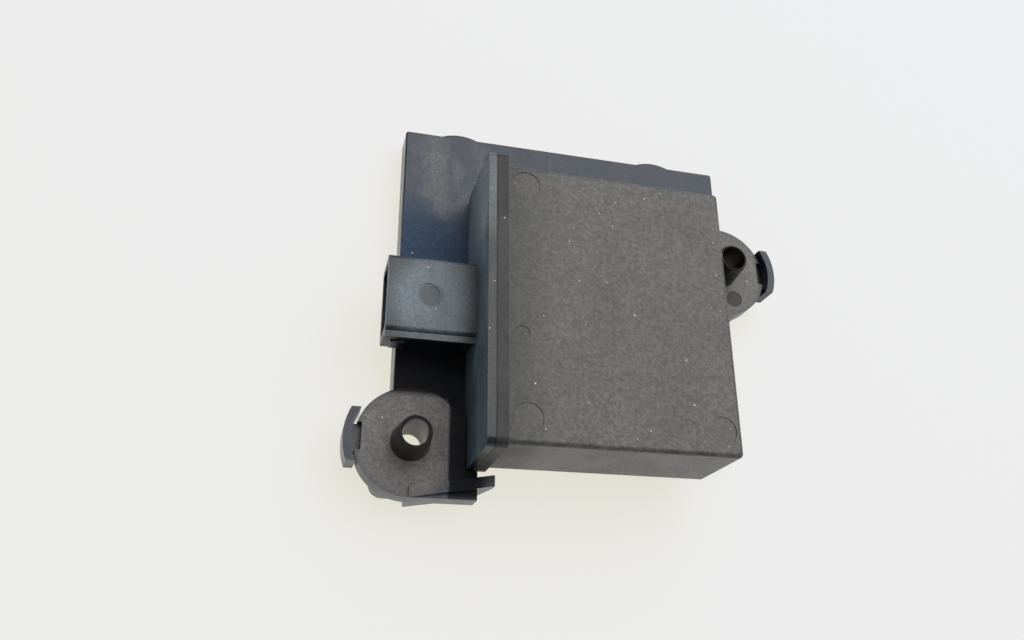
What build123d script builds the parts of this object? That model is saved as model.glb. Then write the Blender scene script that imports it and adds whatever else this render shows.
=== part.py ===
# Tyre pressure control unit: a low-frequency trigger transmitter for wheel sensors.
# A cup-shaped housing with a socketed cover stands on a moulded bracket, which two bushed ears fix
# to studs in the wheel arch. Frame: X along the housing, away from the socket, Y towards the back, Z up.
# Heights are drawn from the plane that the bracket rests on. The finished pieces are lowered, so that the
# origin lies midway between the two stud holes, level with their lower ends.
import os
from build123d import *

# Stud pattern and bushes, all sizes in millimetres
stud_to_cover = 11.7
cup_to_stud = 7.6
stud_spacing_y = 47.6
stud_bore = 5.5
bush_rim_diameter = 6.8
bush_shoulder_diameter = 8.3
bush_seat_diameter = 7.6
bush_rim_height = 17.5
bush_edge = 0.3
bush_fit = 0.03

# Bracket plate with its ribbed underside
plate_top = 7.0
plate_thickness = 2.2
plate_past_left_stud = 3.7
plate_past_right_stud = 1.8
plate_front = 19.9
plate_back = 53.4
plate_corner = 0.6
plate_edge = 0.4
rib_thickness = 1.6
rib_columns = 8
rib_rows = 8
back_pad_width = 8.6
back_pad_depth = 0.9
back_pad_left = -27.7
back_pad_right = 22.3

# Ears with their feet, spring lugs and the gusset in front of the left one
ear_radius = 11.5
ear_top = 10.0
ear_thickness = 4.7
foot_outward = 7.3
foot_inward = 14.0
foot_half_width = 9.8
foot_corner = 3.0
foot_slot_width = 10.0
lug_gap = 0.6
lug_thickness = 1.7
lug_length = 11.2
lug_shift_y = 0.6
lug_bottom = 4.0
lug_top = 11.6
neck_width = 5.8
neck_top = 8.2
neck_root = 10.0
web_depth = 6.0
gusset_thickness = 2.3
gusset_reach = 17.2
gusset_toe_in = 2.6
gusset_rise = 2.2
gusset_step = 0.6
gusset_bottom = 0.6
gusset_lean = 3.2
ear_mark_diameter = 4.1
ear_mark_past_stud = 3.0
ear_mark_before_stud = 7.2

# Housing cup, open towards the cover
cup_length = 52.9
cup_width = 62.4
cup_height = 19.4
cup_middle_y = 3.6
cup_wall = 2.0
cup_edge = 1.0
cup_flange = 2.4
flange_rise = 3.0
flange_side = 1.4
flange_corner = 2.0
housing_clearance = 0.25
stake_diameter = 3.0
stake_head_diameter = 5.2
stake_head_height = 1.5
stake_head_taper = 35.0
stake_fit = 0.1
ejector_diameter = 6.2
ejector_left_inset = 4.7
ejector_right_inset = 4.4
ejector_front_inset = 5.4
ejector_back_inset = 4.4
small_ejector_diameter = 3.4
small_ejector_inset = 3.5
small_ejector_forward = 8.2
mark_depth = 0.15

# Cover with its plug socket
cover_thickness = 1.8
spigot_depth = 3.0
spigot_wall = 1.4
spigot_fit = 0.15
socket_length = 18.9
socket_width = 17.4
socket_height = 10.5
socket_wall = 1.5
socket_corner = 1.2
socket_inner_corner = 0.6
socket_bottom = 1.0
socket_shift_y = 1.95
latch_width = 4.0
latch_length = 3.4
latch_height = 1.2
latch_setback = 1.2
latch_taper = 12.0
gate_mark_diameter = 5.2
gate_mark_setback = 8.3
ledge_width = 1.2
ledge_thickness = 1.2
ledge_drop = 0.6
ledge_overlap = 1.0
seal_width = 1.2
seal_depth = 1.0
seal_fit = 0.04

# Terminals
terminal_pitch = 3.4
terminal_count = 4
terminal_width = 1.2
terminal_thickness = 0.6
terminal_reach = 9.0
terminal_inside = 6.0
terminal_bend = 1.3
terminal_tail = 0.5
terminal_fit = 0.03

# Circuit board
board_thickness = 1.6
board_gap = 0.25
board_standoff = 0.8
board_rail = 1.2
board_rail_thickness = 1.0
board_setback = 1.0
board_hole_diameter = 1.5

# Trigger antenna
antenna_inset = 8.0
ferrite_diameter = 7.0
ferrite_length = 50.0
bobbin_bore_gap = 0.06
bobbin_wall = 0.9
bobbin_flange = 12.0
bobbin_flange_thickness = 1.6
winding_diameter = 11.0
winding_gap = 0.03

# Parts on the board
lead_width = 0.4
lead_thickness = 0.25
lead_foot = 0.7
lead_spread = 1.1
package_standoff = 0.12
soft_edge = 0.5
controller_side = 7.0
controller_height = 1.5
controller_pitch = 0.8
controller_leads = 8
driver_length = 10.3
driver_width = 7.5
driver_height = 2.4
driver_pitch = 1.27
driver_leads = 8
crystal_length = 11.0
crystal_width = 4.6
crystal_height = 3.4
crystal_rim = 0.4
film_length = 13.0
film_width = 6.0
film_height = 11.0
can_diameter = 8.0
can_height = 10.2
can_base = 8.3
can_base_height = 1.2
choke_side = 8.0
choke_corner = 1.6
choke_height = 4.8
choke_bore = 4.6
choke_bore_depth = 1.0
regulator_length = 6.6
regulator_width = 6.1
regulator_height = 2.3
regulator_tab = 1.2
regulator_tab_width = 5.2
regulator_leg = 2.4
regulator_leg_width = 0.8
regulator_leg_spacing = 4.6
regulator_tab_thickness = 0.5
chip_length = 2.0
chip_width = 1.25
ceramic_height = 1.2
resistor_height = 0.55
chip_pitch = 3.2
ceramic_count = 6
resistor_count = 8

# Where those parts stand: from the board's socket edge or the antenna, and as a share of its half width
chip_row_from_edge = 2.0
resistor_row_gap = 0.5
ceramic_row_share = -0.50
controller_from_edge = 9.7
controller_share = -0.50
crystal_from_edge = 11.8
crystal_share = -0.86
can_from_edge = 9.6
can_share = 0.74
regulator_gap = 0.4
regulator_share = 0.34
driver_from_antenna = 6.5
driver_share = 0.0
film_from_antenna = 5.0
film_share = 0.55
choke_from_antenna = 5.6
choke_share = -0.60

# Derived places
ear_bottom = ear_top - ear_thickness
stud_x = (stud_to_cover + cover_thickness + cup_length + cup_to_stud) / 2
stud_y = stud_spacing_y / 2
lug_inner = ear_radius + lug_gap
lug_outer = lug_inner + lug_thickness
plate_left = stud_x + plate_past_left_stud
plate_right = stud_x + plate_past_right_stud
plate_length = plate_left + plate_right
plate_width = plate_front + plate_back
plate_middle = ((plate_right - plate_left) / 2, (plate_back - plate_front) / 2)
pocket_depth = plate_top - plate_thickness
cover_left = stud_to_cover - stud_x
seam_x = cover_left + cover_thickness
cup_right = seam_x + cup_length
cup_left = seam_x + cup_flange
cup_top = plate_top + cup_height
cup_front = cup_middle_y - cup_width / 2
cup_back = cup_middle_y + cup_width / 2
flange_width = cup_width + 2 * flange_side
flange_height = cup_height + flange_rise
cavity_width = cup_width - 2 * cup_wall
cavity_height = cup_height - 2 * cup_wall
groove_width = cavity_width + cup_wall
groove_height = cavity_height + cup_wall
cavity_end = cup_right - cup_wall
cavity_floor = plate_top + cup_wall
cavity_middle_z = cavity_floor + cavity_height / 2
socket_middle_y = cup_middle_y + socket_shift_y
socket_middle_z = plate_top + socket_bottom + socket_height / 2
socket_top = socket_middle_z + socket_height / 2
socket_mouth = cover_left - socket_length
board_left = seam_x + spigot_depth + board_setback
board_right = cavity_end - board_gap
board_bottom = cavity_floor + board_standoff
board_top = board_bottom + board_thickness
board_width = cavity_width - 2 * board_gap
terminal_first_y = socket_middle_y - (terminal_count - 1) / 2 * terminal_pitch
terminal_ys = [terminal_first_y + i * terminal_pitch for i in range(terminal_count)]
terminal_leg_x = board_left + terminal_inside

# Rib grid under the plate: cell centres that stay clear of the two feet
cell_x = (plate_length - rib_thickness) / rib_columns
cell_y = (plate_width - rib_thickness) / rib_rows
foot_middle = (foot_inward - foot_outward) / 2


def clear_of_feet(x, y):
    """True where a pocket at x, y leaves both feet whole."""
    for side in (-1, 1):
        near_x = abs(x - side * (stud_x - foot_middle)) < (foot_inward + foot_outward + cell_x) / 2
        near_y = abs(y - side * stud_y) < foot_half_width + cell_y / 2
        if near_x and near_y:
            return False
    return True


cell_xs = [plate_middle[0] + (i - (rib_columns - 1) / 2) * cell_x for i in range(rib_columns)]
cell_ys = [plate_middle[1] + (j - (rib_rows - 1) / 2) * cell_y for j in range(rib_rows)]
pocket_places = [(x, y) for x in cell_xs for y in cell_ys if clear_of_feet(x, y)]
stake_places = [(x, y) for x in (cell_xs[2], cell_xs[-3]) for y in (cell_ys[1], cell_ys[-4])]

os.makedirs("parts", exist_ok=True)


def save(piece, name):
    """Lower a finished piece to the frame's origin, label it and write it as one STEP file."""
    lowered = piece.part.moved(Location((0, 0, -ear_bottom)))
    lowered.label = name
    export_step(lowered, f"parts/{name}.step")


# Space that the housing and its cover take up above the plate, with clearance, for cutting the ears
with BuildPart() as housing_space:
    with BuildSketch(Plane.XY.offset(plate_top)):
        with Locations(((cover_left + cup_left) / 2, cup_middle_y)):
            Rectangle(cup_left - cover_left + 2 * housing_clearance, flange_width + 2 * housing_clearance)
        with Locations(((cup_left + cup_right) / 2, cup_middle_y)):
            Rectangle(cup_right - cup_left + 2 * housing_clearance, cup_width + 2 * housing_clearance)
    extrude(amount=flange_height)

# Gusset: a wall that runs off the front of the left ear, rises towards the housing and ends in a lean
gusset_start = (-stud_x, -stud_y - ear_radius)
gusset_end = (-stud_x + gusset_reach, -stud_y - ear_radius + gusset_toe_in)
with BuildPart() as gusset:
    with BuildSketch():
        with BuildLine():
            Polyline(
                gusset_start,
                gusset_end,
                (gusset_end[0], gusset_end[1] + gusset_thickness),
                (gusset_start[0], gusset_start[1] + gusset_thickness),
                close=True,
            )
        make_face()
    extrude(amount=ear_top + gusset_rise + gusset_step)
    with BuildSketch(Plane.XZ.offset(stud_y)):
        with BuildLine():
            Polyline(
                (gusset_start[0], gusset_bottom),
                (gusset_end[0] - gusset_lean, gusset_bottom),
                (gusset_end[0], ear_top),
                (gusset_end[0], ear_top + gusset_rise),
                (gusset_start[0], ear_top + gusset_step),
                close=True,
            )
        make_face()
    extrude(amount=2 * ear_radius, mode=Mode.INTERSECT)

# Bracket: plate, feet and ears in one moulding
with BuildPart() as bracket:
    with BuildSketch():
        with Locations(plate_middle):
            RectangleRounded(plate_length, plate_width, plate_corner)
        pad_radius = (back_pad_width**2 / 4 + back_pad_depth**2) / (2 * back_pad_depth)
        with Locations(
            (back_pad_left, plate_back + back_pad_depth - pad_radius),
            (back_pad_right, plate_back + back_pad_depth - pad_radius),
        ):
            Circle(pad_radius)
    extrude(amount=plate_top)
    fillet(bracket.faces().sort_by(Axis.Z)[-1].edges(), radius=plate_edge)
    with BuildSketch():
        with Locations(*pocket_places):
            Rectangle(cell_x - rib_thickness, cell_y - rib_thickness)
    extrude(amount=pocket_depth, mode=Mode.SUBTRACT)
    for side in (-1, 1):
        with BuildSketch():
            with Locations((side * (stud_x - foot_middle), side * stud_y)):
                RectangleRounded(foot_inward + foot_outward, 2 * foot_half_width, foot_corner)
        extrude(amount=ear_bottom)
    for side in (-1, 1):
        with BuildSketch(Plane.XY.offset(ear_bottom)):
            with Locations((side * stud_x, side * stud_y)):
                Circle(ear_radius)
            web_middle = (stud_x - foot_inward / 2, stud_y + (ear_radius - web_depth) / 2)
            with Locations((side * web_middle[0], side * web_middle[1])):
                Rectangle(foot_inward, ear_radius + web_depth)
        extrude(amount=ear_thickness)
    add(gusset.part)
    add(housing_space.part, mode=Mode.SUBTRACT)
    for side in (-1, 1):
        with BuildSketch(Plane.XY.offset(neck_top)):
            with Locations((side * (stud_x + neck_root + ear_radius / 2), side * stud_y + lug_shift_y)):
                Rectangle(ear_radius, neck_width)
        extrude(amount=ear_top - neck_top, mode=Mode.SUBTRACT)
        with BuildSketch(Plane.XY.offset(lug_bottom)):
            with Locations((side * stud_x, side * stud_y)):
                Circle(lug_outer)
                Circle(lug_inner, mode=Mode.SUBTRACT)
            with Locations((side * (stud_x + lug_outer), side * stud_y + lug_shift_y)):
                Rectangle(lug_outer, lug_length, mode=Mode.INTERSECT)
        extrude(amount=lug_top - lug_bottom)
        with BuildSketch(Plane.XY.offset(ear_bottom)):
            neck_end = lug_inner + lug_thickness / 2
            with Locations((side * (stud_x + (neck_root + neck_end) / 2), side * stud_y + lug_shift_y)):
                Rectangle(neck_end - neck_root, neck_width)
        extrude(amount=neck_top - ear_bottom)
        with BuildSketch():
            with Locations((side * stud_x, side * stud_y)):
                Circle(foot_slot_width / 2)
            with Locations((side * (stud_x + foot_outward), side * stud_y)):
                Rectangle(2 * foot_outward, foot_slot_width)
        extrude(amount=ear_bottom, mode=Mode.SUBTRACT)
        with BuildSketch():
            with Locations((side * stud_x, side * stud_y)):
                Circle(bush_seat_diameter / 2 + bush_fit)
        extrude(amount=ear_top, mode=Mode.SUBTRACT)
    with BuildSketch():
        with Locations(*stake_places):
            Circle(stake_diameter / 2 + stake_fit)
    extrude(amount=plate_top, mode=Mode.SUBTRACT)
    with BuildSketch(Plane.XY.offset(ear_top)):
        with Locations((stud_x + ear_mark_past_stud, stud_y - ear_mark_before_stud)):
            Circle(ear_mark_diameter / 2)
    extrude(amount=-mark_depth, mode=Mode.SUBTRACT)
save(bracket, "mounting_bracket")

# Bushes: a seat in the ear, a shoulder on top of it and a tapering sleeve
for name, side in (("left_bush", -1), ("right_bush", 1)):
    with BuildPart() as bush:
        with BuildSketch(Plane.XZ):
            with BuildLine():
                Polyline(
                    (stud_bore / 2, ear_bottom),
                    (bush_seat_diameter / 2, ear_bottom),
                    (bush_seat_diameter / 2, ear_top),
                    (bush_shoulder_diameter / 2, ear_top),
                    (bush_rim_diameter / 2, bush_rim_height - bush_edge),
                    (bush_rim_diameter / 2 - bush_edge, bush_rim_height),
                    (stud_bore / 2 + bush_edge, bush_rim_height),
                    (stud_bore / 2, bush_rim_height - bush_edge),
                    close=True,
                )
            make_face()
        revolve(axis=Axis.Z)
    bush.part.position = (side * stud_x, side * stud_y, 0)
    save(bush, name)

# Housing cup: a box open at the seam, with a flange round its mouth, rails for the board and stakes below
seam_plane = Plane.YZ.offset(seam_x)
with BuildPart() as cup:
    with BuildSketch(seam_plane):
        with Locations((cup_middle_y, plate_top + cup_height / 2)):
            Rectangle(cup_width, cup_height)
    extrude(amount=cup_length)
    upper_edges = cup.edges().group_by(Axis.Z)[-1]
    fillet(upper_edges + cup.edges().filter_by(Axis.Z).group_by(Axis.X)[-1], radius=cup_edge)
    with BuildSketch(seam_plane) as flange_outline:
        with Locations((cup_middle_y, plate_top + flange_height / 2)):
            Rectangle(flange_width, flange_height)
        fillet(flange_outline.vertices().group_by(Axis.Z)[-1], radius=flange_corner)
    extrude(amount=cup_flange)
    with BuildSketch(seam_plane):
        with Locations((cup_middle_y, cavity_middle_z)):
            Rectangle(cavity_width, cavity_height)
    extrude(amount=cup_length - cup_wall, mode=Mode.SUBTRACT)
    with BuildSketch(seam_plane):
        with Locations((cup_middle_y, cavity_middle_z)):
            Rectangle(groove_width + seal_width, groove_height + seal_width)
            Rectangle(groove_width - seal_width, groove_height - seal_width, mode=Mode.SUBTRACT)
    extrude(amount=seal_depth, mode=Mode.SUBTRACT)
    rail_tops = (board_bottom, board_top + board_gap + board_rail_thickness)
    rail_heights = (board_standoff, board_rail_thickness)
    for side in (-1, 1):
        for rail_top, rail_height in zip(rail_tops, rail_heights):
            with BuildSketch(Plane.YZ.offset(board_left)):
                rail_middle_y = cup_middle_y + side * (cavity_width - board_rail) / 2
                with Locations((rail_middle_y, rail_top - rail_height / 2)):
                    Rectangle(board_rail, rail_height)
            extrude(amount=cavity_end - board_left)
    with BuildSketch(Plane.XY.offset(cup_top)):
        with Locations(
            (cup_left + ejector_left_inset, cup_front + ejector_front_inset),
            (cup_left + ejector_left_inset, cup_back - ejector_back_inset),
            (cup_right - ejector_right_inset, cup_front + ejector_front_inset),
        ):
            Circle(ejector_diameter / 2)
        with Locations((cup_left + small_ejector_inset, cup_middle_y - small_ejector_forward)):
            Circle(small_ejector_diameter / 2)
    extrude(amount=-mark_depth, mode=Mode.SUBTRACT)
    with BuildSketch(Plane.XY.offset(pocket_depth)):
        with Locations(*stake_places):
            Circle(stake_diameter / 2)
    extrude(amount=plate_thickness)
    with BuildSketch(Plane.XY.offset(pocket_depth)):
        with Locations(*stake_places):
            Circle(stake_head_diameter / 2)
    extrude(amount=-stake_head_height, taper=stake_head_taper)
save(cup, "housing_cup")

# Seal ring in the groove of the cup's mouth
with BuildPart() as seal:
    with BuildSketch(seam_plane):
        with Locations((cup_middle_y, cavity_middle_z)):
            ring_width = seal_width - 2 * seal_fit
            Rectangle(groove_width + ring_width, groove_height + ring_width)
            Rectangle(groove_width - ring_width, groove_height - ring_width, mode=Mode.SUBTRACT)
    extrude(amount=seal_depth)
save(seal, "cover_seal")

# Cover: a plate that matches the cup's flange, a spigot into the mouth and a shrouded plug socket
cover_plane = Plane.YZ.offset(cover_left)
with BuildPart() as cover:
    with BuildSketch(cover_plane) as cover_outline:
        with Locations((cup_middle_y, plate_top + flange_height / 2)):
            Rectangle(flange_width, flange_height)
        fillet(cover_outline.vertices().group_by(Axis.Z)[-1], radius=flange_corner)
    extrude(amount=cover_thickness)
    with BuildSketch(seam_plane):
        with Locations((cup_middle_y, cavity_middle_z)):
            Rectangle(cavity_width - 2 * spigot_fit, cavity_height - 2 * spigot_fit)
            Rectangle(
                cavity_width - 2 * (spigot_fit + spigot_wall),
                cavity_height - 2 * (spigot_fit + spigot_wall),
                mode=Mode.SUBTRACT,
            )
    extrude(amount=spigot_depth)
    with BuildSketch(cover_plane):
        with Locations((socket_middle_y, socket_middle_z)):
            RectangleRounded(socket_width, socket_height, socket_corner)
    extrude(amount=-socket_length)
    with BuildSketch(cover_plane):
        ledge_middle_y = socket_middle_y - (socket_width + ledge_width - ledge_overlap) / 2
        with Locations((ledge_middle_y, socket_top - ledge_drop - ledge_thickness / 2)):
            Rectangle(ledge_width + ledge_overlap, ledge_thickness)
    extrude(amount=-socket_length)
    with BuildSketch(Plane.XZ.offset(socket_width / 2 - socket_middle_y)):
        with BuildLine():
            Polyline(
                (socket_mouth + latch_setback, socket_middle_z - latch_width / 2),
                (socket_mouth + latch_setback + latch_length, socket_middle_z - latch_width / 2),
                (socket_mouth + latch_setback + latch_length, socket_middle_z + latch_width / 2),
                (socket_mouth + latch_setback, socket_middle_z + latch_width / 2),
                close=True,
            )
        make_face()
    extrude(amount=latch_height, taper=latch_taper)
    with BuildSketch(cover_plane):
        with Locations((socket_middle_y, socket_middle_z)):
            bore_width = socket_width - 2 * socket_wall
            RectangleRounded(bore_width, socket_height - 2 * socket_wall, socket_inner_corner)
    extrude(amount=-socket_length, mode=Mode.SUBTRACT)
    with BuildSketch(cover_plane):
        with Locations(*[(y, socket_middle_z) for y in terminal_ys]):
            Rectangle(terminal_width + 2 * terminal_fit, terminal_thickness + 2 * terminal_fit)
    extrude(amount=cover_thickness, mode=Mode.SUBTRACT)
    with BuildSketch(Plane.XY.offset(socket_top)):
        with Locations((socket_mouth + gate_mark_setback, socket_middle_y)):
            Circle(gate_mark_diameter / 2)
    extrude(amount=-mark_depth, mode=Mode.SUBTRACT)
save(cover, "connector_cover")

# Terminals: blades through the cover that bend down into the board
for number, y in enumerate(terminal_ys, start=1):
    with BuildPart() as terminal:
        with BuildSketch(Plane.XZ.offset(-y)):
            with BuildLine() as route:
                FilletPolyline(
                    (cover_left - terminal_reach, socket_middle_z),
                    (terminal_leg_x, socket_middle_z),
                    (terminal_leg_x, board_bottom - terminal_tail),
                    radius=terminal_bend,
                )
            trace(line_width=terminal_thickness)
        extrude(amount=terminal_width / 2, both=True)
    save(terminal, f"terminal_{number}")

# Circuit board, slid into the rails
with BuildPart() as board:
    with BuildSketch(Plane.XY.offset(board_bottom)):
        with Locations(((board_left + board_right) / 2, cup_middle_y)):
            Rectangle(board_right - board_left, board_width)
        with Locations(*[(terminal_leg_x, y) for y in terminal_ys]):
            Circle(board_hole_diameter / 2, mode=Mode.SUBTRACT)
    extrude(amount=board_thickness)
save(board, "circuit_board")

# Trigger antenna: ferrite rod in a wound bobbin that lies across the closed end of the cup
antenna_x = board_right - antenna_inset
antenna_z = board_top + bobbin_flange / 2
antenna_plane = Plane((antenna_x, cup_middle_y, antenna_z), x_dir=(1, 0, 0), z_dir=(0, 1, 0))
bobbin_inner = ferrite_diameter / 2 + bobbin_bore_gap
bobbin_outer = bobbin_inner + bobbin_wall
with BuildPart() as ferrite:
    with BuildSketch(antenna_plane):
        Circle(ferrite_diameter / 2)
    extrude(amount=ferrite_length / 2, both=True)
save(ferrite, "ferrite_core")

with BuildPart() as bobbin:
    with BuildSketch(antenna_plane):
        Circle(bobbin_outer)
    extrude(amount=ferrite_length / 2, both=True)
    for side in (-1, 1):
        with BuildSketch(antenna_plane.offset(side * ferrite_length / 2)):
            RectangleRounded(bobbin_flange, bobbin_flange, bobbin_wall)
        extrude(amount=-side * bobbin_flange_thickness)
    with BuildSketch(antenna_plane):
        Circle(bobbin_inner)
    extrude(amount=ferrite_length / 2, both=True, mode=Mode.SUBTRACT)
save(bobbin, "antenna_bobbin")

with BuildPart() as winding:
    with BuildSketch(antenna_plane):
        Circle(winding_diameter / 2)
        Circle(bobbin_outer + winding_gap, mode=Mode.SUBTRACT)
    extrude(amount=ferrite_length / 2 - bobbin_flange_thickness - winding_gap, both=True)
save(winding, "antenna_winding")


def leaded_package(length, width, height, pitch, leads, four_sided):
    """A moulded chip on the plane Z = 0, with gull-wing leads on two or four of its sides."""
    shoulder_z = package_standoff + height / 2
    sides = [(90, width), (270, width)]
    if four_sided:
        sides += [(0, length), (180, length)]
    with BuildPart() as lead:
        with BuildSketch(Plane.XZ):
            with BuildLine():
                Polyline(
                    (-lead_foot, shoulder_z),
                    (lead_foot / 2, shoulder_z),
                    (lead_foot / 2, lead_thickness / 2),
                    (lead_foot / 2 + lead_spread, lead_thickness / 2),
                )
            trace(line_width=lead_thickness)
        extrude(amount=lead_width / 2, both=True)
    with BuildPart() as package:
        with BuildSketch(Plane.XY.offset(package_standoff)):
            Rectangle(length, width)
        extrude(amount=height)
        chamfer(package.faces().sort_by(Axis.Z)[-1].edges(), length=lead_thickness)
        for turn, across in sides:
            with PolarLocations(across / 2, 1, start_angle=turn):
                with GridLocations(pitch, pitch, 1, leads):
                    add(lead.part)
    return package


def on_board(from_left, share_y):
    """A place on the board's top: a distance from its left edge and a share of its half width."""
    return (board_left + from_left, cup_middle_y + share_y * board_width / 2, board_top)


def by_antenna(gap, share_y):
    """A place on the board's top at a distance from the antenna's near side."""
    return (antenna_x - bobbin_flange / 2 - gap, cup_middle_y + share_y * board_width / 2, board_top)


controller = leaded_package(
    controller_side, controller_side, controller_height, controller_pitch, controller_leads, True
)
controller.part.position = on_board(controller_from_edge, controller_share)
save(controller, "controller_chip")

driver = leaded_package(driver_length, driver_width, driver_height, driver_pitch, driver_leads, False)
driver.part.position = by_antenna(driver_from_antenna, driver_share)
save(driver, "driver_chip")

# Crystal: a drawn oval can on its base rim
with BuildPart() as crystal:
    with BuildSketch():
        SlotOverall(crystal_length, crystal_width)
    extrude(amount=crystal_rim)
    with BuildSketch():
        SlotOverall(crystal_length - 2 * crystal_rim, crystal_width - 2 * crystal_rim)
    extrude(amount=crystal_height)
    fillet(crystal.faces().sort_by(Axis.Z)[-1].edges(), radius=soft_edge)
crystal.part.position = on_board(crystal_from_edge, crystal_share)
save(crystal, "crystal")

# Film capacitor that tunes the antenna
with BuildPart() as film:
    with BuildSketch():
        Rectangle(film_width, film_length)
    extrude(amount=film_height)
    fillet(film.faces().sort_by(Axis.Z)[-1].edges(), radius=soft_edge)
film.part.position = by_antenna(film_from_antenna, film_share)
save(film, "resonance_capacitor")

# Electrolytic can on its square base
with BuildPart() as can:
    with BuildSketch():
        Rectangle(can_base, can_base)
    extrude(amount=can_base_height)
    with BuildSketch(Plane.XY.offset(can_base_height)):
        Circle(can_diameter / 2)
    extrude(amount=can_height - can_base_height)
    fillet(can.faces().sort_by(Axis.Z)[-1].edges(), radius=soft_edge)
can.part.position = on_board(can_from_edge, can_share)
save(can, "bulk_capacitor")

# Shielded choke with a round window in its top
with BuildPart() as choke:
    with BuildSketch():
        RectangleRounded(choke_side, choke_side, choke_corner)
    extrude(amount=choke_height)
    with BuildSketch(Plane.XY.offset(choke_height)):
        Circle(choke_bore / 2)
    extrude(amount=-choke_bore_depth, mode=Mode.SUBTRACT)
choke.part.position = by_antenna(choke_from_antenna, choke_share)
save(choke, "choke")

# Voltage regulator with its solder tab on one side and two legs on the other
with BuildPart() as regulator:
    with BuildSketch():
        Rectangle(regulator_length, regulator_width)
    extrude(amount=regulator_height)
    chamfer(regulator.faces().sort_by(Axis.Z)[-1].edges(), length=lead_thickness)
    with BuildSketch():
        with Locations(((regulator_length + regulator_tab) / 2, 0)):
            Rectangle(regulator_tab, regulator_tab_width)
        with Locations((-(regulator_length + regulator_leg) / 2, 0)):
            with GridLocations(regulator_leg, regulator_leg_spacing, 1, 2):
                Rectangle(regulator_leg, regulator_leg_width)
    extrude(amount=regulator_tab_thickness)
regulator_leg_end = terminal_inside + terminal_thickness / 2 + regulator_gap
regulator_from_edge = regulator_leg_end + regulator_leg + regulator_length / 2
regulator.part.position = on_board(regulator_from_edge, regulator_share)
save(regulator, "voltage_regulator")


def chip_row(height, count):
    """A row of like chip components along Y, on the plane Z = 0."""
    with BuildPart() as row:
        with BuildSketch():
            with GridLocations(chip_length, chip_pitch, 1, count):
                Rectangle(chip_length, chip_width)
        extrude(amount=height)
    return row


ceramics = chip_row(ceramic_height, ceramic_count)
ceramics.part.position = on_board(chip_row_from_edge, ceramic_row_share)
save(ceramics, "ceramic_capacitors")

resistors = chip_row(resistor_height, resistor_count)
resistor_row_length = (resistor_count - 1) * chip_pitch + chip_width
resistor_row_end = board_width / 2 - board_rail - resistor_row_gap
resistor_row_share = (resistor_row_end - resistor_row_length / 2) / (board_width / 2)
resistors.part.position = on_board(chip_row_from_edge, resistor_row_share)
save(resistors, "chip_resistors")
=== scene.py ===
import math
import bpy
import numpy as np
from mathutils import Matrix, Vector


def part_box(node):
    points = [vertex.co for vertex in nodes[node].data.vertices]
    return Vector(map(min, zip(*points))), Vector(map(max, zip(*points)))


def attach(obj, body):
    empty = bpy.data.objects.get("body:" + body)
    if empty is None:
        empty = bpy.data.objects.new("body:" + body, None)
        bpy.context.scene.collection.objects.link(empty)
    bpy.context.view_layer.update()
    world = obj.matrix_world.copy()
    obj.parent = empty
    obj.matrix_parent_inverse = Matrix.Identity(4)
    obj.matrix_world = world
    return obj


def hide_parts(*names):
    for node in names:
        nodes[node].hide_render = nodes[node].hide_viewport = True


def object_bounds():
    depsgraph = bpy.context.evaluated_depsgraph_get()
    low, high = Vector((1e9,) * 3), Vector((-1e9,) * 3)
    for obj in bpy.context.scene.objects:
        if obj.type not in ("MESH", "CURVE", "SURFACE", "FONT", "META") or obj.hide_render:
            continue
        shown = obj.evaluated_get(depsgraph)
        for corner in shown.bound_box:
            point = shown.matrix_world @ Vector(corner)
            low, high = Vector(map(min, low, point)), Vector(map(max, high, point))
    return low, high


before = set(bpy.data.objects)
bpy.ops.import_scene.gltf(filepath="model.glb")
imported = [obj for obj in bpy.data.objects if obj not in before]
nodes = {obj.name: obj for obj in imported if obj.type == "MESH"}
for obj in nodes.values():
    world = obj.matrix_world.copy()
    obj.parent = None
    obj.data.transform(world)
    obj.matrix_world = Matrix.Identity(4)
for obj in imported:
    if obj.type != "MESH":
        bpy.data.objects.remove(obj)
cadBox = [list(corner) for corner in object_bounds()]
restZ = cadBox[0][2]  # the plane that the bracket stands on
print("frame loaded:", len(nodes), "nodes")


def middleOf(node):
    low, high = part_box(node)
    return tuple((a + b) / 2 for a, b in zip(low, high))


leftStud = middleOf("left_bush")
rightStud = middleOf("right_bush")
coverLow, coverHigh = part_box("connector_cover")
cupLow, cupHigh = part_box("housing_cup")


# Node helpers: a value may be a number, a colour or another node's socket

def putIn(tree, socket, value):
    if isinstance(value, bpy.types.NodeSocket):
        tree.links.new(value, socket)
    elif socket.type == "RGBA":
        socket.default_value = (*value[:3], 1.0)
    else:
        socket.default_value = value


def addNode(tree, kind, values=None, **settings):
    node = tree.nodes.new(kind)
    for name, setting in settings.items():
        setattr(node, name, setting)
    for name, value in (values or {}).items():
        putIn(tree, node.inputs[name], value)
    return node


def calc(tree, operation, a, b=0.0):
    node = addNode(tree, "ShaderNodeMath", {0: a, 1: b}, operation=operation)
    return node.outputs[0]


def spread(tree, value, low, high, toLow=0.0, toHigh=1.0, curve="SMOOTHSTEP"):
    ends = {"Value": value, "From Min": low, "From Max": high, "To Min": toLow, "To Max": toHigh}
    return addNode(tree, "ShaderNodeMapRange", ends, interpolation_type=curve).outputs[0]


def blendColour(tree, share, a, b):
    node = addNode(tree, "ShaderNodeMix", {0: share, 6: a, 7: b}, data_type="RGBA")
    return node.outputs[2]


def times(tree, a, b):
    return calc(tree, "MULTIPLY", a, b)


def axesOf(tree, where):
    return addNode(tree, "ShaderNodeSeparateXYZ", {0: where}).outputs


def vectorValue(tree, operation, a, b):
    return addNode(tree, "ShaderNodeVectorMath", {0: a, 1: b}, operation=operation).outputs["Value"]


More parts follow.
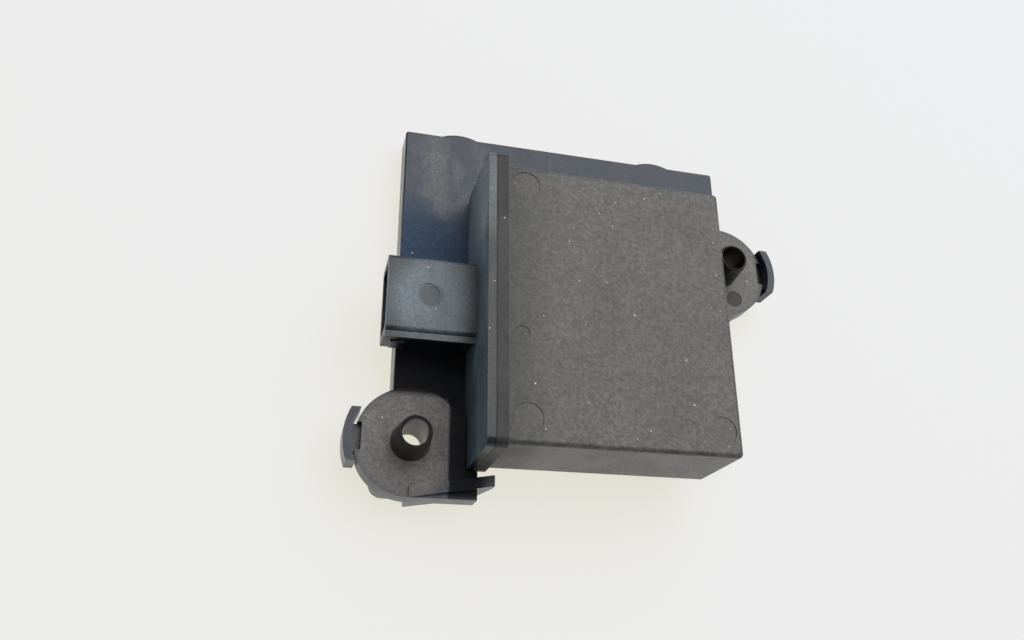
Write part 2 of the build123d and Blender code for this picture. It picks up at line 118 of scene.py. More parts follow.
def blendTone(tree, share, a, b):
    return addNode(tree, "ShaderNodeMix", {0: share, 2: a, 3: b}, data_type="FLOAT").outputs[0]


def noise(tree, where, scale, detail=3.0, roughness=0.55, stretch=None):
    if stretch:
        where = addNode(tree, "ShaderNodeMapping", {"Vector": where, "Scale": stretch}).outputs[0]
    values = {"Vector": where, "Scale": scale, "Detail": detail, "Roughness": roughness}
    return addNode(tree, "ShaderNodeTexNoise", values).outputs["Fac"]


def newGroup(name, inputs, outputs):
    tree = bpy.data.node_groups.new(name, "ShaderNodeTree")
    for socketName, socketType, value in inputs:
        socket = tree.interface.new_socket(socketName, in_out="INPUT", socket_type=socketType)
        if value is not None:
            socket.default_value = value
    for socketName, socketType in outputs:
        tree.interface.new_socket(socketName, in_out="OUTPUT", socket_type=socketType)
    return tree, tree.nodes.new("NodeGroupInput"), tree.nodes.new("NodeGroupOutput")


noiseEnds = (0.3, 0.7)  # most of a noise's values lie between these

# Moulded skin: a fine etched grain for the bump, flecks a few grains wide, and a slow mottle
skinPattern = {"fleckScale": 0.5, "mottleEnds": (0.32, 0.68)}


def makeMouldedSkin():
    tree, given, result = newGroup(
        "mouldedSkin",
        [("Vector", "NodeSocketVector", None), ("Grain Scale", "NodeSocketFloat", 3000.0),
         ("Mottle Scale", "NodeSocketFloat", 120.0)],
        [("Grain", "NodeSocketFloat"), ("Fleck", "NodeSocketFloat"), ("Mottle", "NodeSocketFloat")])
    where = given.outputs["Vector"]
    grain = noise(tree, where, given.outputs["Grain Scale"], detail=2.0, roughness=0.6)
    fleckScale = times(tree, given.outputs["Grain Scale"], skinPattern["fleckScale"])
    fleck = noise(tree, where, fleckScale, detail=4.0, roughness=0.7)
    mottle = noise(tree, where, given.outputs["Mottle Scale"], detail=4.0, roughness=0.6)
    putIn(tree, result.inputs["Grain"], grain)
    putIn(tree, result.inputs["Fleck"], spread(tree, fleck, *noiseEnds))
    putIn(tree, result.inputs["Mottle"], spread(tree, mottle, *skinPattern["mottleEnds"]))
    return tree


# Dust: round specks in scattered cells, soft smears, long scuffs, and how far a face looks up or to the left
dustPattern = {
    "speckSizes": (0.06, 0.26), "speckEdge": 0.08,  # shares of a cell
    "smearStretch": (1.0, 0.55, 1.0), "smearEnds": (0.42, 0.72),
    "scuffScale": 520.0, "scuffStretch": (1.0, 0.07, 0.4), "scuffEnds": (0.60, 0.70),
    "scuffZone": (0.46, 0.60),
    "upEnds": (0.35, 0.9), "leftEnds": (-0.5, -0.9),  # the normal's z and x
}


def makeDustFilm():
    tree, given, result = newGroup(
        "dustFilm",
        [("Vector", "NodeSocketVector", None), ("Speck Scale", "NodeSocketFloat", 500.0),
         ("Speck Share", "NodeSocketFloat", 0.1), ("Smear Scale", "NodeSocketFloat", 90.0)],
        [("Specks", "NodeSocketFloat"), ("Smears", "NodeSocketFloat"), ("Upward", "NodeSocketFloat"),
         ("Leftward", "NodeSocketFloat"), ("Scuffs", "NodeSocketFloat")])
    where = given.outputs["Vector"]
    cells = addNode(tree, "ShaderNodeTexVoronoi", {"Vector": where, "Scale": given.outputs["Speck Scale"]})
    chance = addNode(tree, "ShaderNodeSeparateColor", {"Color": cells.outputs["Color"]})
    size = spread(tree, chance.outputs[1], 0.0, 1.0, *dustPattern["speckSizes"], curve="LINEAR")
    inside = calc(tree, "SUBTRACT", size, cells.outputs["Distance"])
    disc = spread(tree, inside, 0.0, dustPattern["speckEdge"])
    chosen = calc(tree, "LESS_THAN", chance.outputs[0], given.outputs["Speck Share"])
    putIn(tree, result.inputs["Specks"], times(tree, disc, chosen))
    slow = noise(tree, where, given.outputs["Smear Scale"], detail=6.0, roughness=0.65,
                 stretch=dustPattern["smearStretch"])
    putIn(tree, result.inputs["Smears"], spread(tree, slow, *dustPattern["smearEnds"]))
    drag = noise(tree, where, dustPattern["scuffScale"], detail=2.0, roughness=0.5,
                 stretch=dustPattern["scuffStretch"])
    scratch = spread(tree, drag, *dustPattern["scuffEnds"])
    scuffZone = spread(tree, slow, *dustPattern["scuffZone"])
    putIn(tree, result.inputs["Scuffs"], times(tree, scratch, scuffZone))
    facing = addNode(tree, "ShaderNodeNewGeometry").outputs["Normal"]
    turned = axesOf(tree, facing)
    putIn(tree, result.inputs["Upward"], spread(tree, turned[2], *dustPattern["upEnds"]))
    putIn(tree, result.inputs["Leftward"], spread(tree, turned[0], *dustPattern["leftEnds"]))
    return tree


# Edge wear and painted highlight: where a rounded normal leaves the flat one, an edge is near; this mask
# lightens edges, partly as wear and partly as a painted highlight
wearAndHighlightPattern = {"turnEnds": (0.995, 0.85), "breakScale": 700.0, "breakEnds": (0.35, 0.6), "least": 0.35}


def makeEdgeWearAndHighlight():
    tree, given, result = newGroup(
        "edgeWearAndHighlight",
        [("Vector", "NodeSocketVector", None), ("Width", "NodeSocketFloat", 0.0005)],
        [("Edge", "NodeSocketFloat")])
    rounded = addNode(tree, "ShaderNodeBevel", {"Radius": given.outputs["Width"]}, samples=6).outputs[0]
    flat = addNode(tree, "ShaderNodeNewGeometry").outputs["Normal"]
    turn = vectorValue(tree, "DOT_PRODUCT", rounded, flat)
    near = spread(tree, turn, *wearAndHighlightPattern["turnEnds"])
    breaks = noise(tree, given.outputs["Vector"], wearAndHighlightPattern["breakScale"])
    broken = spread(tree, breaks, *wearAndHighlightPattern["breakEnds"], wearAndHighlightPattern["least"], 1.0)
    putIn(tree, result.inputs["Edge"], times(tree, near, broken))
    return tree


mouldedSkin = makeMouldedSkin()
dustFilm = makeDustFilm()
edgeWearAndHighlight = makeEdgeWearAndHighlight()
print("shared finishes ready")


def newFinish(name):
    material = bpy.data.materials.new(name)
    material.use_nodes = True
    tree = material.node_tree
    shader = tree.nodes["Principled BSDF"]
    where = addNode(tree, "ShaderNodeTexCoord").outputs["Object"]
    return material, tree, shader, where


def useGroup(tree, group, values):
    node = tree.nodes.new("ShaderNodeGroup")
    node.node_tree = group
    for name, value in values.items():
        putIn(tree, node.inputs[name], value)
    return node


def bump(tree, shader, height, strength, distance):
    node = addNode(tree, "ShaderNodeBump", {"Height": height, "Strength": strength, "Distance": distance})
    putIn(tree, shader.inputs["Normal"], node.outputs[0])


# A soft round patch about a point
def patch(tree, where, centre, inner, outer):
    return spread(tree, vectorValue(tree, "DISTANCE", where, centre), inner, outer, 1.0, 0.0)


def dressNode(name, material):
    mesh = nodes[name].data
    mesh.materials.clear()
    mesh.materials.append(material)


# Moulded plastic with grain, mottle, dust, and edges lightened partly as wear and partly as painted
# highlight. A film is a patch of dust, a mark, a band of other tone, a dark joint, dust with painted
# reflection, or painted shade, as (mask, share, colour), laid over the plastic in order
def mouldedPlastic(name, look, films=None):
    material, tree, shader, where = newFinish(name)
    skin = useGroup(tree, mouldedSkin, {"Vector": where, "Grain Scale": look["grainScale"],
                                        "Mottle Scale": look["mottleScale"]})
    dust = useGroup(tree, dustFilm, {"Vector": where, "Speck Scale": look["speckScale"],
                                     "Speck Share": look["speckShare"], "Smear Scale": look["smearScale"]})
    edgeWearAndLight = useGroup(tree, edgeWearAndHighlight, {"Vector": where, "Width": look["edgeWidth"]})
    smears, upward = dust.outputs["Smears"], dust.outputs["Upward"]
    tone = blendTone(tree, look["fleckShare"], skin.outputs["Mottle"], skin.outputs["Fleck"])
    colour = blendColour(tree, tone, look["dark"], look["light"])
    # edges lightened: partly wear, partly painted highlight
    litWornEdgeShare = times(tree, edgeWearAndLight.outputs["Edge"], look["edgeShare"])
    colour = blendColour(tree, litWornEdgeShare, colour, look["edge"])
    smeared = times(tree, times(tree, smears, upward), look["smearShare"])
    colour = blendColour(tree, smeared, colour, look["dust"])
    scuffed = times(tree, times(tree, dust.outputs["Scuffs"], upward), look["scuffShare"])
    colour = blendColour(tree, scuffed, colour, look["dust"])
    covered = smeared
    for mask, share, tint in (films(tree, where, dust.outputs) if films else ()):
        laid = times(tree, mask, share)
        colour = blendColour(tree, laid, colour, tint)
        covered = calc(tree, "MAXIMUM", covered, laid)
    pits = times(tree, calc(tree, "SUBTRACT", 1.0, skin.outputs["Fleck"]), look["pitShade"])
    colour = blendColour(tree, pits, colour, look["pit"])
    specks = times(tree, dust.outputs["Specks"], upward)
    putIn(tree, shader.inputs["Base Color"], blendColour(tree, specks, colour, look["speck"]))
    gloss = spread(tree, skin.outputs["Mottle"], 0.0, 1.0, look["rough"], look["rough"] + look["roughSpread"])
    gloss = calc(tree, "ADD", gloss, times(tree, covered, look["dustRough"]))
    putIn(tree, shader.inputs["Roughness"], gloss)
    bump(tree, shader, skin.outputs["Grain"], look["grain"], look["grainDepth"])
    return material


# A mask times the broken pattern of the smears, never less than a floor share
def smearBroken(tree, mask, smears, least):
    return times(tree, mask, spread(tree, smears, 0.0, 1.0, least, 1.0))


# A dark line where the cover meets the cup
seam = {"x": cupLow[0], "halfWidth": 0.00014, "fade": 1.6, "share": 1.0, "colour": (0.004, 0.004, 0.004)}


def seamLine(tree, where):
    x = axesOf(tree, where)[0]
    away = calc(tree, "ABSOLUTE", calc(tree, "SUBTRACT", x, seam["x"]))
    return spread(tree, away, seam["halfWidth"], seam["halfWidth"] * seam["fade"], 1.0, 0.0)


# What the four moulded plastics share
plastic = {
    "grainScale": 2600.0, "grain": 0.35, "grainDepth": 0.00006, "mottleScale": 110.0,
    "speckScale": 1000.0, "speckShare": 0.012, "smearScale": 70.0, "smearShare": 0.12, "edgeWidth": 0.0005,
    "edgeShare": 0.35, "fleckShare": 0.6, "scuffShare": 0.4, "pitShade": 0.45,
    "pit": (0.004, 0.004, 0.005), "rough": 0.26, "roughSpread": 0.10, "dustRough": 0.20,
    "dark": (0.045, 0.048, 0.052), "light": (0.062, 0.064, 0.068), "edge": (0.10, 0.103, 0.106),
    "dust": (0.12, 0.117, 0.110), "speck": (0.62, 0.61, 0.58),
}

# Housing cup: warm grey satin with sparse white specks, round marks where pins pushed it out, a band near the
# cover darker, and a nearly black flange
housing = dict(plastic, dark=(0.042, 0.041, 0.041), light=(0.165, 0.161, 0.157), dust=(0.20, 0.196, 0.190),
               pitShade=0.3, speckShare=0.05, smearShare=0.16, smearScale=110.0, mottleScale=75.0, rough=0.34,
               grain=0.5)
pinMarks = {"inset": 0.0047, "front": 0.0068, "back": 0.0058, "right": 0.0044, "down": 0.003,
            "radius": 0.0031, "core": 0.9, "least": 0.5, "share": 0.45, "colour": (0.14, 0.137, 0.134)}
# A darker band on the top of the cup near the cover
nearCoverBand = {"inner": 0.001, "outer": 0.013, "least": 0.7, "share": 0.6, "colour": (0.030, 0.031, 0.033)}
flangeFilm = {"depth": 0.0024, "edge": 0.0001, "least": 0.8, "share": 0.85, "colour": (0.012, 0.014, 0.016)}


def housingFilms(tree, where, dust):
    smears, upward = dust["Smears"], dust["Upward"]
    x = axesOf(tree, where)[0]
    flangeEnd = cupLow[0] + flangeFilm["depth"]
    nearCoverMask = spread(tree, x, flangeEnd + nearCoverBand["inner"], flangeEnd + nearCoverBand["outer"], 1.0, 0.0)
    yield smearBroken(tree, nearCoverMask, smears, nearCoverBand["least"]), nearCoverBand["share"], nearCoverBand["colour"]
    left = flangeEnd + pinMarks["inset"]
    front = cupLow[1] + pinMarks["front"]
    top = cupHigh[2] - pinMarks["down"]
    spots = [(left, front, top), (left, cupHigh[1] - pinMarks["back"], top),
             (cupHigh[0] - pinMarks["right"], front, top)]
    for spot in spots:
        mark = patch(tree, where, spot, pinMarks["radius"] * pinMarks["core"], pinMarks["radius"])
        mark = smearBroken(tree, times(tree, mark, upward), smears, pinMarks["least"])
        yield mark, pinMarks["share"], pinMarks["colour"]
    flange = spread(tree, x, flangeEnd, flangeEnd + flangeFilm["edge"], 1.0, 0.0)
    yield smearBroken(tree, flange, smears, flangeFilm["least"]), flangeFilm["share"], flangeFilm["colour"]
    yield seamLine(tree, where), seam["share"], seam["colour"]


dressNode("housing_cup", mouldedPlastic("housingPlastic", housing, housingFilms))

# Cover and plug socket: teal-grey wall, its left-facing side lightened partly by dust and partly by painted
# reflection, more dust towards its back, and a pale blue film on the socket's top with a darker round gate
# mark
cover = dict(plastic, dark=(0.004, 0.008, 0.011), light=(0.018, 0.026, 0.032), edge=(0.08, 0.09, 0.10),
             dust=(0.16, 0.18, 0.20), smearShare=0.25, speckShare=0.04, rough=0.24)
socketFilm = {"fromMouth": 0.0092, "middleY": 0.0055, "height": 0.0185, "inner": 0.0055, "outer": 0.0125,
              "least": 0.6, "share": 0.75, "colour": (0.250, 0.320, 0.390)}
gateMark = {"inner": 0.00216, "outer": 0.003105, "share": 0.8, "colour": (0.06, 0.085, 0.10)}
# Left-facing faces of the cover lightened to pale teal: partly dust, partly painted reflection of the blue
# plate and the table
leftWallDustAndReflection = {"least": 0.55, "share": 0.8, "colour": (0.225, 0.340, 0.430)}
wallDust = {"thick": 0.0018, "up": 0.020, "fromBack": 0.008, "inner": 0.004, "outer": 0.020, "least": 0.6,
            "share": 0.65, "colour": (0.50, 0.54, 0.58)}


def coverFilms(tree, where, dust):
    smears, upward = dust["Smears"], dust["Upward"]
    socketTop = (coverLow[0] + socketFilm["fromMouth"], socketFilm["middleY"], restZ + socketFilm["height"])
    top = times(tree, patch(tree, where, socketTop, socketFilm["inner"], socketFilm["outer"]), upward)
    yield smearBroken(tree, top, smears, socketFilm["least"]), socketFilm["share"], socketFilm["colour"]
    gate = patch(tree, where, socketTop, gateMark["inner"], gateMark["outer"])
    yield times(tree, gate, upward), gateMark["share"], gateMark["colour"]
    # left-facing faces: dust and painted reflection
    yield smearBroken(tree, dust["Leftward"], smears, leftWallDustAndReflection["least"]), leftWallDustAndReflection["share"], leftWallDustAndReflection["colour"]
    backOfWall = (cupLow[0] - wallDust["thick"], coverHigh[1] - wallDust["fromBack"], restZ + wallDust["up"])
    wall = patch(tree, where, backOfWall, wallDust["inner"], wallDust["outer"])
    yield smearBroken(tree, wall, smears, wallDust["least"]), wallDust["share"], wallDust["colour"]
    yield seamLine(tree, where), seam["share"], seam["colour"]


dressNode("connector_cover", mouldedPlastic("coverPlastic", cover, coverFilms))

# Bracket: slate-blue plate with painted shade by the socket, ears under pale dust, a smeared back corner, and
# painted shade making the nook by the socket nearly black
bracket = dict(plastic, dark=(0.003, 0.013, 0.033), light=(0.008, 0.028, 0.068), edge=(0.08, 0.085, 0.09),
               smearShare=0.25, smearScale=130.0, dust=(0.10, 0.115, 0.135), rough=0.22, dustRough=0.55)
earFilm = {"height": 0.010, "inner": 0.0098, "outer": 0.0125, "least": 0.65, "leftShare": 0.95,
           "rightShare": 0.85, "colour": (0.335, 0.317, 0.288)}
earMark = {"pastStud": 0.0030, "beforeStud": 0.0072, "inner": 0.0018, "outer": 0.0023, "share": 0.75,
           "colour": (0.030, 0.030, 0.032)}
plateHeight = 0.0070  # above the rest plane
# Painted shade: a bluer patch of the plate by the socket, standing for the socket's shade on it
socketShadePatch = {"place": (-0.0345, 0.0210), "inner": 0.004, "outer": 0.020, "share": 0.75,
            "colour": (0.042, 0.100, 0.205)}
# Painted shade for the nook between the left ear and the socket and the ear's strip beside the cover, nearly
# black
paintedNookShade = {"reach": 0.0056, "edge": 0.0004, "earEnd": 0.0092, "front": -0.0340, "soft": 0.002, "back": 0.0,
            "fade": 0.003, "share": 1.0, "colour": (0.001, 0.002, 0.005)}
cornerFilm = {"place": (-0.0295, 0.0430), "inner": 0.005, "outer": 0.015, "least": 0.0, "share": 0.85,
              "colour": (0.25, 0.258, 0.262)}


def platePatch(tree, where, film):
    return patch(tree, where, (*film["place"], restZ + plateHeight), film["inner"], film["outer"])


# Painted shade: the nook between the left ear and the socket, with a strip of the ear beside the cover, made
# nearly black where the socket and the cover block the light and its reflection
def nookShadeMask(tree, where):
    x, y = axesOf(tree, where)[:2]
    side = cupLow[0] - paintedNookShade["reach"]
    earEnd = leftStud[1] + paintedNookShade["earEnd"]
    earPart = spread(tree, x, side - paintedNookShade["edge"], side + paintedNookShade["edge"])
    nook = calc(tree, "MAXIMUM", earPart, spread(tree, y, earEnd, earEnd + paintedNookShade["soft"]))
    nook = times(tree, nook, spread(tree, y, paintedNookShade["back"], paintedNookShade["back"] + paintedNookShade["fade"], 1.0, 0.0))
    nook = times(tree, nook, spread(tree, x, cupLow[0], cupLow[0] + paintedNookShade["fade"], 1.0, 0.0))
    return times(tree, nook, spread(tree, y, paintedNookShade["front"] - paintedNookShade["soft"], paintedNookShade["front"]))


def bracketFilms(tree, where, dust):
    smears, upward = dust["Smears"], dust["Upward"]
    earTop = restZ + earFilm["height"]
    for stud, share in ((leftStud, earFilm["leftShare"]), (rightStud, earFilm["rightShare"])):
        ear = patch(tree, where, (stud[0], stud[1], earTop), earFilm["inner"], earFilm["outer"])
        yield smearBroken(tree, ear, smears, earFilm["least"]), share, earFilm["colour"]
    markPlace = (rightStud[0] + earMark["pastStud"], rightStud[1] - earMark["beforeStud"], earTop)
    mark = patch(tree, where, markPlace, earMark["inner"], earMark["outer"])
    yield times(tree, mark, upward), earMark["share"], earMark["colour"]
    # painted shade on the plate by the socket
    blue = platePatch(tree, where, socketShadePatch)
    yield times(tree, blue, upward), socketShadePatch["share"], socketShadePatch["colour"]
    # painted shade: the nook and the ear's strip beside the cover made nearly black
    yield times(tree, nookShadeMask(tree, where), upward), paintedNookShade["share"], paintedNookShade["colour"]
    corner = times(tree, platePatch(tree, where, cornerFilm), upward)
    yield smearBroken(tree, corner, smears, cornerFilm["least"]), cornerFilm["share"], cornerFilm["colour"]


dressNode("mounting_bracket", mouldedPlastic("bracketPlastic", bracket, bracketFilms))

# Bushes: nearly black, cleaner than the ears
bush = dict(plastic, dark=(0.004, 0.004, 0.005), light=(0.010, 0.010, 0.011), edge=(0.06, 0.058, 0.06),
            smearShare=0.05, speckShare=0.003, edgeWidth=0.0003, rough=0.28)
bushFinish = mouldedPlastic("bushPlastic", bush)
for name in ("left_bush", "right_bush"):
    dressNode(name, bushFinish)
print("outer plastics dressed")


# Roughness runs from the look's own value over its range as a tone goes from 0 to 1
def setRoughness(tree, shader, tone, look):
    rough = spread(tree, tone, 0.0, 1.0, look["rough"], look["rough"] + look["roughSpread"])
    putIn(tree, shader.inputs["Roughness"], rough)


# Inner parts: each finish is a base colour broken by one pattern
def metalFinish(name, look):
    material, tree, shader, where = newFinish(name)
    streak = noise(tree, where, look["scale"], roughness=0.6, stretch=look["stretch"])
    share = spread(tree, streak, *noiseEnds)
    putIn(tree, shader.inputs["Base Color"], blendColour(tree, share, look["dark"], look["light"]))
    setRoughness(tree, shader, share, look)
    shader.inputs["Metallic"].default_value = 1.0
    bump(tree, shader, streak, look["grain"], look["grainDepth"])
    return material


tinLook = {"scale": 900.0, "stretch": (0.15, 1.0, 1.0), "dark": (0.52, 0.50, 0.46),
           "light": (0.74, 0.72, 0.68), "rough": 0.26, "roughSpread": 0.14, "grain": 0.2,
           "grainDepth": 0.00003}
tinFinish = metalFinish("tinnedBlade", tinLook)
for number in (1, 2, 3, 4):
    dressNode(f"terminal_{number}", tinFinish)
canLook = dict(tinLook, stretch=(1.0, 1.0, 0.1), dark=(0.60, 0.60, 0.61), light=(0.80, 0.80, 0.81),
               rough=0.22)
steelLook = dict(canLook, dark=(0.50, 0.49, 0.47), light=(0.68, 0.67, 0.65), rough=0.30)
dressNode("bulk_capacitor", metalFinish("aluminiumCan", canLook))
dressNode("crystal", metalFinish("drawnSteelCan", steelLook))


def speckledFinish(name, look):
    material, tree, shader, where = newFinish(name)
    skin = useGroup(tree, mouldedSkin, {"Vector": where, "Grain Scale": look["grainScale"],
                                        "Mottle Scale": look["mottleScale"]})
    colour = blendColour(tree, skin.outputs["Mottle"], look["dark"], look["light"])
    fleck = spread(tree, skin.outputs["Grain"], *look["fleckEnds"])
    putIn(tree, shader.inputs["Base Color"], blendColour(tree, fleck, colour, look["fleck"]))
    setRoughness(tree, shader, skin.outputs["Mottle"], look)
    bump(tree, shader, skin.outputs["Grain"], look["grain"], look["grainDepth"])
    return material


resinLook = {"grainScale": 4200.0, "mottleScale": 420.0, "dark": (0.016, 0.016, 0.018),
             "light": (0.028, 0.028, 0.030), "fleck": (0.05, 0.05, 0.052), "fleckEnds": (0.58, 0.70),
             "rough": 0.52, "roughSpread": 0.12, "grain": 0.5, "grainDepth": 0.00004}
resinFinish = speckledFinish("chipResin", resinLook)
for name in ("controller_chip", "driver_chip", "voltage_regulator", "chip_resistors"):
    dressNode(name, resinFinish)
ferriteLook = dict(resinLook, grainScale=3000.0, dark=(0.030, 0.030, 0.033), light=(0.055, 0.055, 0.060),
                   fleck=(0.12, 0.12, 0.13), rough=0.62, grain=0.8)
ferriteFinish = speckledFinish("sinteredFerrite", ferriteLook)
for name in ("ferrite_core", "choke"):
    dressNode(name, ferriteFinish)
ceramicLook = dict(resinLook, dark=(0.36, 0.25, 0.15), light=(0.46, 0.33, 0.21), fleck=(0.52, 0.40, 0.28),
                   rough=0.45, grain=0.3)
dressNode("ceramic_capacitors", speckledFinish("firedCeramic", ceramicLook))
filmLook = dict(resinLook, dark=(0.42, 0.035, 0.03), light=(0.52, 0.05, 0.04), fleck=(0.56, 0.08, 0.06),
                rough=0.30, grain=0.15)
dressNode("resonance_capacitor", speckledFinish("filmCase", filmLook))
bobbinLook = dict(resinLook, dark=(0.56, 0.53, 0.45), light=(0.66, 0.63, 0.56), fleck=(0.70, 0.67, 0.60),
                  rough=0.42, grain=0.2)
dressNode("antenna_bobbin", speckledFinish("bobbinPlastic", bobbinLook))
sealLook = dict(resinLook, dark=(0.014, 0.014, 0.014), light=(0.024, 0.023, 0.023),
                fleck=(0.035, 0.035, 0.035), rough=0.70, grain=0.4)
dressNode("cover_seal", speckledFinish("sealRubber", sealLook))


# Board laminate: solder mask over straight tracks, with a faint weave under it
def boardFinish(look):
    material, tree, shader, where = newFinish("boardLaminate")
    cells = addNode(tree, "ShaderNodeTexBrick", {
        "Vector": where, "Scale": look["trackScale"], "Mortar Size": look["trackWidth"],
        "Color1": (0.0, 0.0, 0.0), "Color2": (0.0, 0.0, 0.0), "Mortar": (1.0, 1.0, 1.0)}, offset=0.5)
    tracks = addNode(tree, "ShaderNodeSeparateColor", {0: cells.outputs[0]}).outputs[0]
    weave = noise(tree, where, look["weaveScale"], detail=2.0)
    colour = blendColour(tree, spread(tree, weave, *noiseEnds), look["dark"], look["light"])
    putIn(tree, shader.inputs["Base Color"], blendColour(tree, tracks, colour, look["track"]))
    setRoughness(tree, shader, tracks, look)
    bump(tree, shader, tracks, look["grain"], look["grainDepth"])
    return material


boardLook = {"trackScale": 120.0, "trackWidth": 0.06, "weaveScale": 1500.0, "dark": (0.010, 0.075, 0.030),
             "light": (0.014, 0.095, 0.040), "track": (0.030, 0.17, 0.07), "rough": 0.36,
             "roughSpread": -0.08, "grain": 0.3, "grainDepth": 0.00003}
dressNode("circuit_board", boardFinish(boardLook))


# Enamelled copper
def copperFinish(look):
    material, tree, shader, where = newFinish("enamelledCopper")
    streak = noise(tree, where, look["scale"], roughness=0.6, stretch=look["stretch"])
    tone = spread(tree, streak, *noiseEnds)
    putIn(tree, shader.inputs["Base Color"], blendColour(tree, tone, look["dark"], look["light"]))
    setRoughness(tree, shader, tone, look)
    shader.inputs["Metallic"].default_value = 1.0
    shader.inputs["Coat Weight"].default_value = look["enamel"]
    return material


copperLook = {"scale": 600.0, "stretch": (1.0, 0.2, 1.0), "dark": (0.48, 0.17, 0.06),
              "light": (0.66, 0.28, 0.11), "rough": 0.22, "roughSpread": 0.12, "enamel": 0.4}
copper = copperFinish(copperLook)
dressNode("antenna_winding", copper)
print("inner parts dressed")


# A grid of points (rows, columns, 3) as a mesh of quads, closed round its columns or its rows if asked
def gridPiece(name, points, material, roundColumns=False, roundRows=False):
    rows, columns = points.shape[:2]
    down = np.arange(rows if roundRows else rows - 1)
    across = np.arange(columns if roundColumns else columns - 1)
    r, c = np.meshgrid(down, across, indexing="ij")
    r2, c2 = (r + 1) % rows, (c + 1) % columns
    corners = [r * columns + c, r * columns + c2, r2 * columns + c2, r2 * columns + c]
    quads = np.stack(corners, axis=-1).reshape(-1, 4)
    mesh = bpy.data.meshes.new(name)
    mesh.vertices.add(rows * columns)
    mesh.vertices.foreach_set("co", points.reshape(-1).astype(np.float32))
    mesh.loops.add(quads.size)
    mesh.loops.foreach_set("vertex_index", quads.reshape(-1).astype(np.int32))
    mesh.polygons.add(len(quads))
    mesh.polygons.foreach_set("loop_start", np.arange(0, quads.size, 4, dtype=np.int32))
    mesh.update(calc_edges=True)
    mesh.validate()
    mesh.polygons.foreach_set("use_smooth", np.ones(len(mesh.polygons), dtype=bool))
    piece = bpy.data.objects.new(name, mesh)
    bpy.context.scene.collection.objects.link(piece)
    mesh.materials.append(material)
    return piece


# Winding: a sleeve whose outside is a row of wire turns
winding = {"wireDiameter": 0.00042, "depth": 0.00085, "pointsPerTurn": 8, "pointsRound": 64}


def makeWinding():
    low, high = [np.array(corner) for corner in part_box("antenna_winding")]
    middle = (low + high) / 2
    outer = (high[2] - low[2]) / 2
    length = high[1] - low[1]
    turns = int(length / winding["wireDiameter"])
    along = np.linspace(0.0, 1.0, turns * winding["pointsPerTurn"] + 1)
    # radius = outer - wire radius * (1 - |sin|) over each turn, so the crests touch the CAD sleeve's outside
    crest = np.abs(np.sin(np.pi * along * turns))
    radius = outer - winding["wireDiameter"] / 2 * (1.0 - crest)
    angle = np.linspace(0.0, 2.0 * np.pi, winding["pointsRound"], endpoint=False)
    inner = outer - winding["depth"]
    radius = np.concatenate([[inner], radius, [inner]])
    place = np.concatenate([[0.0], along, [1.0]])
    points = np.empty((len(radius), len(angle), 3))
    points[..., 0] = middle[0] + radius[:, None] * np.cos(angle)
    points[..., 1] = (low[1] + place * length)[:, None]
    points[..., 2] = middle[2] + radius[:, None] * np.sin(angle)
    return gridPiece("windingTurns", points[:, ::-1], copper, roundColumns=True, roundRows=True)


# Camera at the photograph's place: a pinhole looking down over the socket's front corner, rolled
cameraView = {
    "place": (-0.0610, -0.0745, 0.1890),  # metres, height above the rest plane
    "target": (-0.0081, 0.0086, 0.0),
    "roll": 34.94,
    "focalPixels": 904.3,
    "imageWidth": 1024,
    "imageHeight": 640,
    "middlePixel": (532.3, 326.8),
    "sensor": 36.0,
    "clip": (0.01, 50.0),
}


def makeCamera():
    data = bpy.data.cameras.new("photoCamera")
    data.sensor_width = cameraView["sensor"]
    data.lens = cameraView["focalPixels"] / cameraView["imageWidth"] * cameraView["sensor"]
    data.shift_x = (cameraView["imageWidth"] / 2 - cameraView["middlePixel"][0]) / cameraView["imageWidth"]
    data.shift_y = (cameraView["middlePixel"][1] - cameraView["imageHeight"] / 2) / cameraView["imageWidth"]
    data.clip_start, data.clip_end = cameraView["clip"]
    lift = Vector((0.0, 0.0, restZ))
    place = Vector(cameraView["place"]) + lift
    forward = (Vector(cameraView["target"]) + lift - place).normalized()
    level = forward.cross(Vector((0.0, 0.0, 1.0))).normalized()
    roll = math.radians(cameraView["roll"])
    right = level * math.cos(roll) + level.cross(forward) * math.sin(roll)
    up = right.cross(forward)
    camera = bpy.data.objects.new("photoCamera", data)
    turn = Matrix((right, up, -forward)).transposed().to_4x4()
    camera.matrix_world = Matrix.Translation(place) @ turn
    bpy.context.scene.collection.objects.link(camera)
    bpy.context.scene.camera = camera


# Table: a pale sheet. What the camera and reflections see is mostly its own pale tone, with part of the
# shading left in near the unit, more of it in blue, so that shadows stay faint and warm
table = {"size": 3.0, "points": 9, "rough": 0.9, "colour": (0.88, 0.88, 0.87), "shown": (0.853, 0.857, 0.868),
         "shadeShare": (0.12, 0.16, 0.29), "fullTone": 0.88, "shadeInner": 0.12, "shadeOuter": 0.40}


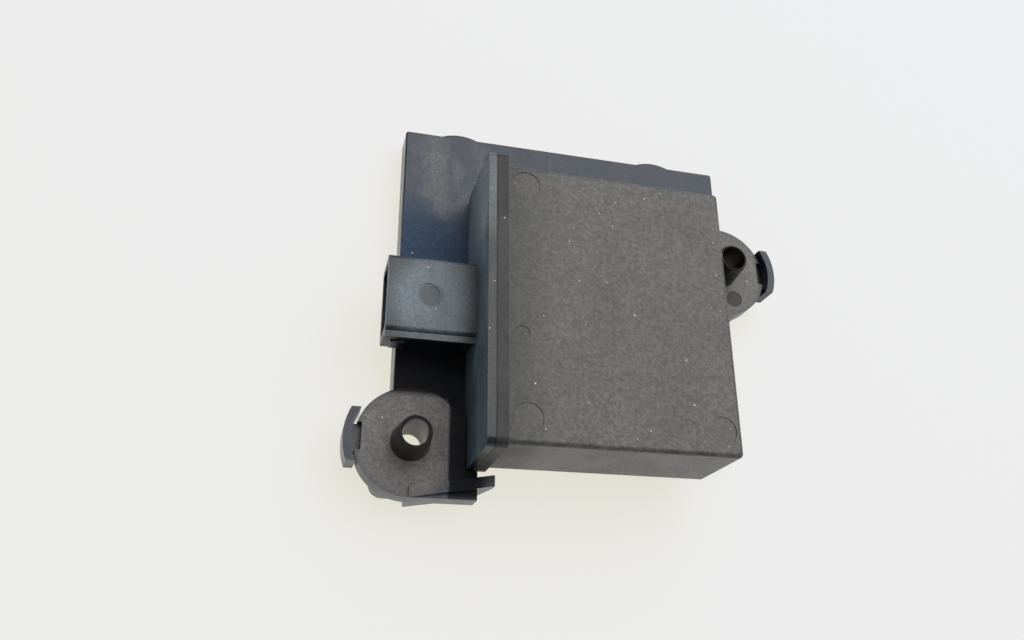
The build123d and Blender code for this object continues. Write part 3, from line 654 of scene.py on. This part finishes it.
def makeTable():
    half = table["size"] / 2
    u = np.linspace(-half, half, table["points"])
    x, y = np.meshgrid(u, u, indexing="ij")
    points = np.stack([x, y, np.full_like(x, restZ)], axis=-1)  # a flat square grid at the rest plane
    material, tree, shader, where = newFinish("paleTable")
    shader.inputs["Base Color"].default_value = (*table["colour"], 1.0)
    shader.inputs["Roughness"].default_value = table["rough"]
    shader.inputs["Specular IOR Level"].default_value = 0.0
    shade = np.array(table["shadeShare"])
    black = (0.0, 0.0, 0.0)
    close = patch(tree, where, (0.0, 0.0, restZ), table["shadeInner"], table["shadeOuter"])
    lessShade = tuple(np.array(table["shown"]) - table["fullTone"] * shade)
    glow = addNode(tree, "ShaderNodeEmission", {"Color": blendColour(tree, close, table["shown"], lessShade)})
    faint = addNode(tree, "ShaderNodeBsdfDiffuse", {"Color": blendColour(tree, close, black, tuple(shade))})
    seen = addNode(tree, "ShaderNodeAddShader", {0: glow.outputs[0], 1: faint.outputs[0]})
    path = addNode(tree, "ShaderNodeLightPath")
    looking = calc(tree, "MAXIMUM", path.outputs["Is Camera Ray"], path.outputs["Is Glossy Ray"])
    looking = calc(tree, "MAXIMUM", looking, path.outputs["Is Transmission Ray"])
    choice = addNode(tree, "ShaderNodeMixShader", {0: looking, 1: shader.outputs[0], 2: seen.outputs[0]})
    putIn(tree, tree.nodes["Material Output"].inputs["Surface"], choice.outputs[0])
    sheet = gridPiece("tableTop", points[::-1], material)


# Light: a dim pale room all round and one wide soft lamp high on the back right
lighting = {
    "room": (1.0, 1.0, 1.0), "roomStrength": 0.25, "roomShown": 0.846,
    "lampPlace": (0.37, 0.48, 1.0), "lampSize": 1.35, "lampWatts": 13.0, "lampColour": (1.0, 0.99, 0.975),
}


def makeLight():
    world = bpy.data.worlds.new("paleRoom")
    bpy.context.scene.world = world
    world.use_nodes = True
    tree = world.node_tree
    light = tree.nodes["Background"]
    light.inputs["Color"].default_value = (*lighting["room"], 1.0)
    light.inputs["Strength"].default_value = lighting["roomStrength"]
    pale = {"Color": lighting["room"], "Strength": lighting["roomShown"]}
    shown = addNode(tree, "ShaderNodeBackground", pale)
    seen = addNode(tree, "ShaderNodeLightPath").outputs["Is Camera Ray"]
    choice = addNode(tree, "ShaderNodeMixShader", {0: seen, 1: light.outputs[0], 2: shown.outputs[0]})
    putIn(tree, tree.nodes["World Output"].inputs["Surface"], choice.outputs[0])
    lampData = bpy.data.lights.new("softLamp", "AREA")
    lampData.size = lighting["lampSize"]
    lampData.energy = lighting["lampWatts"]
    lampData.color = lighting["lampColour"]
    lamp = bpy.data.objects.new("softLamp", lampData)
    place = Vector(lighting["lampPlace"])
    turn = (-place).to_track_quat("-Z", "Y").to_matrix().to_4x4()
    lamp.matrix_world = Matrix.Translation(place) @ turn
    bpy.context.scene.collection.objects.link(lamp)


makeCamera()
makeTable()
makeLight()
print("camera, table and light set")

turns = makeWinding()
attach(turns, "root")
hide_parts("antenna_winding")
print("winding turns made")

bpy.context.scene.view_settings.view_transform = "Standard"
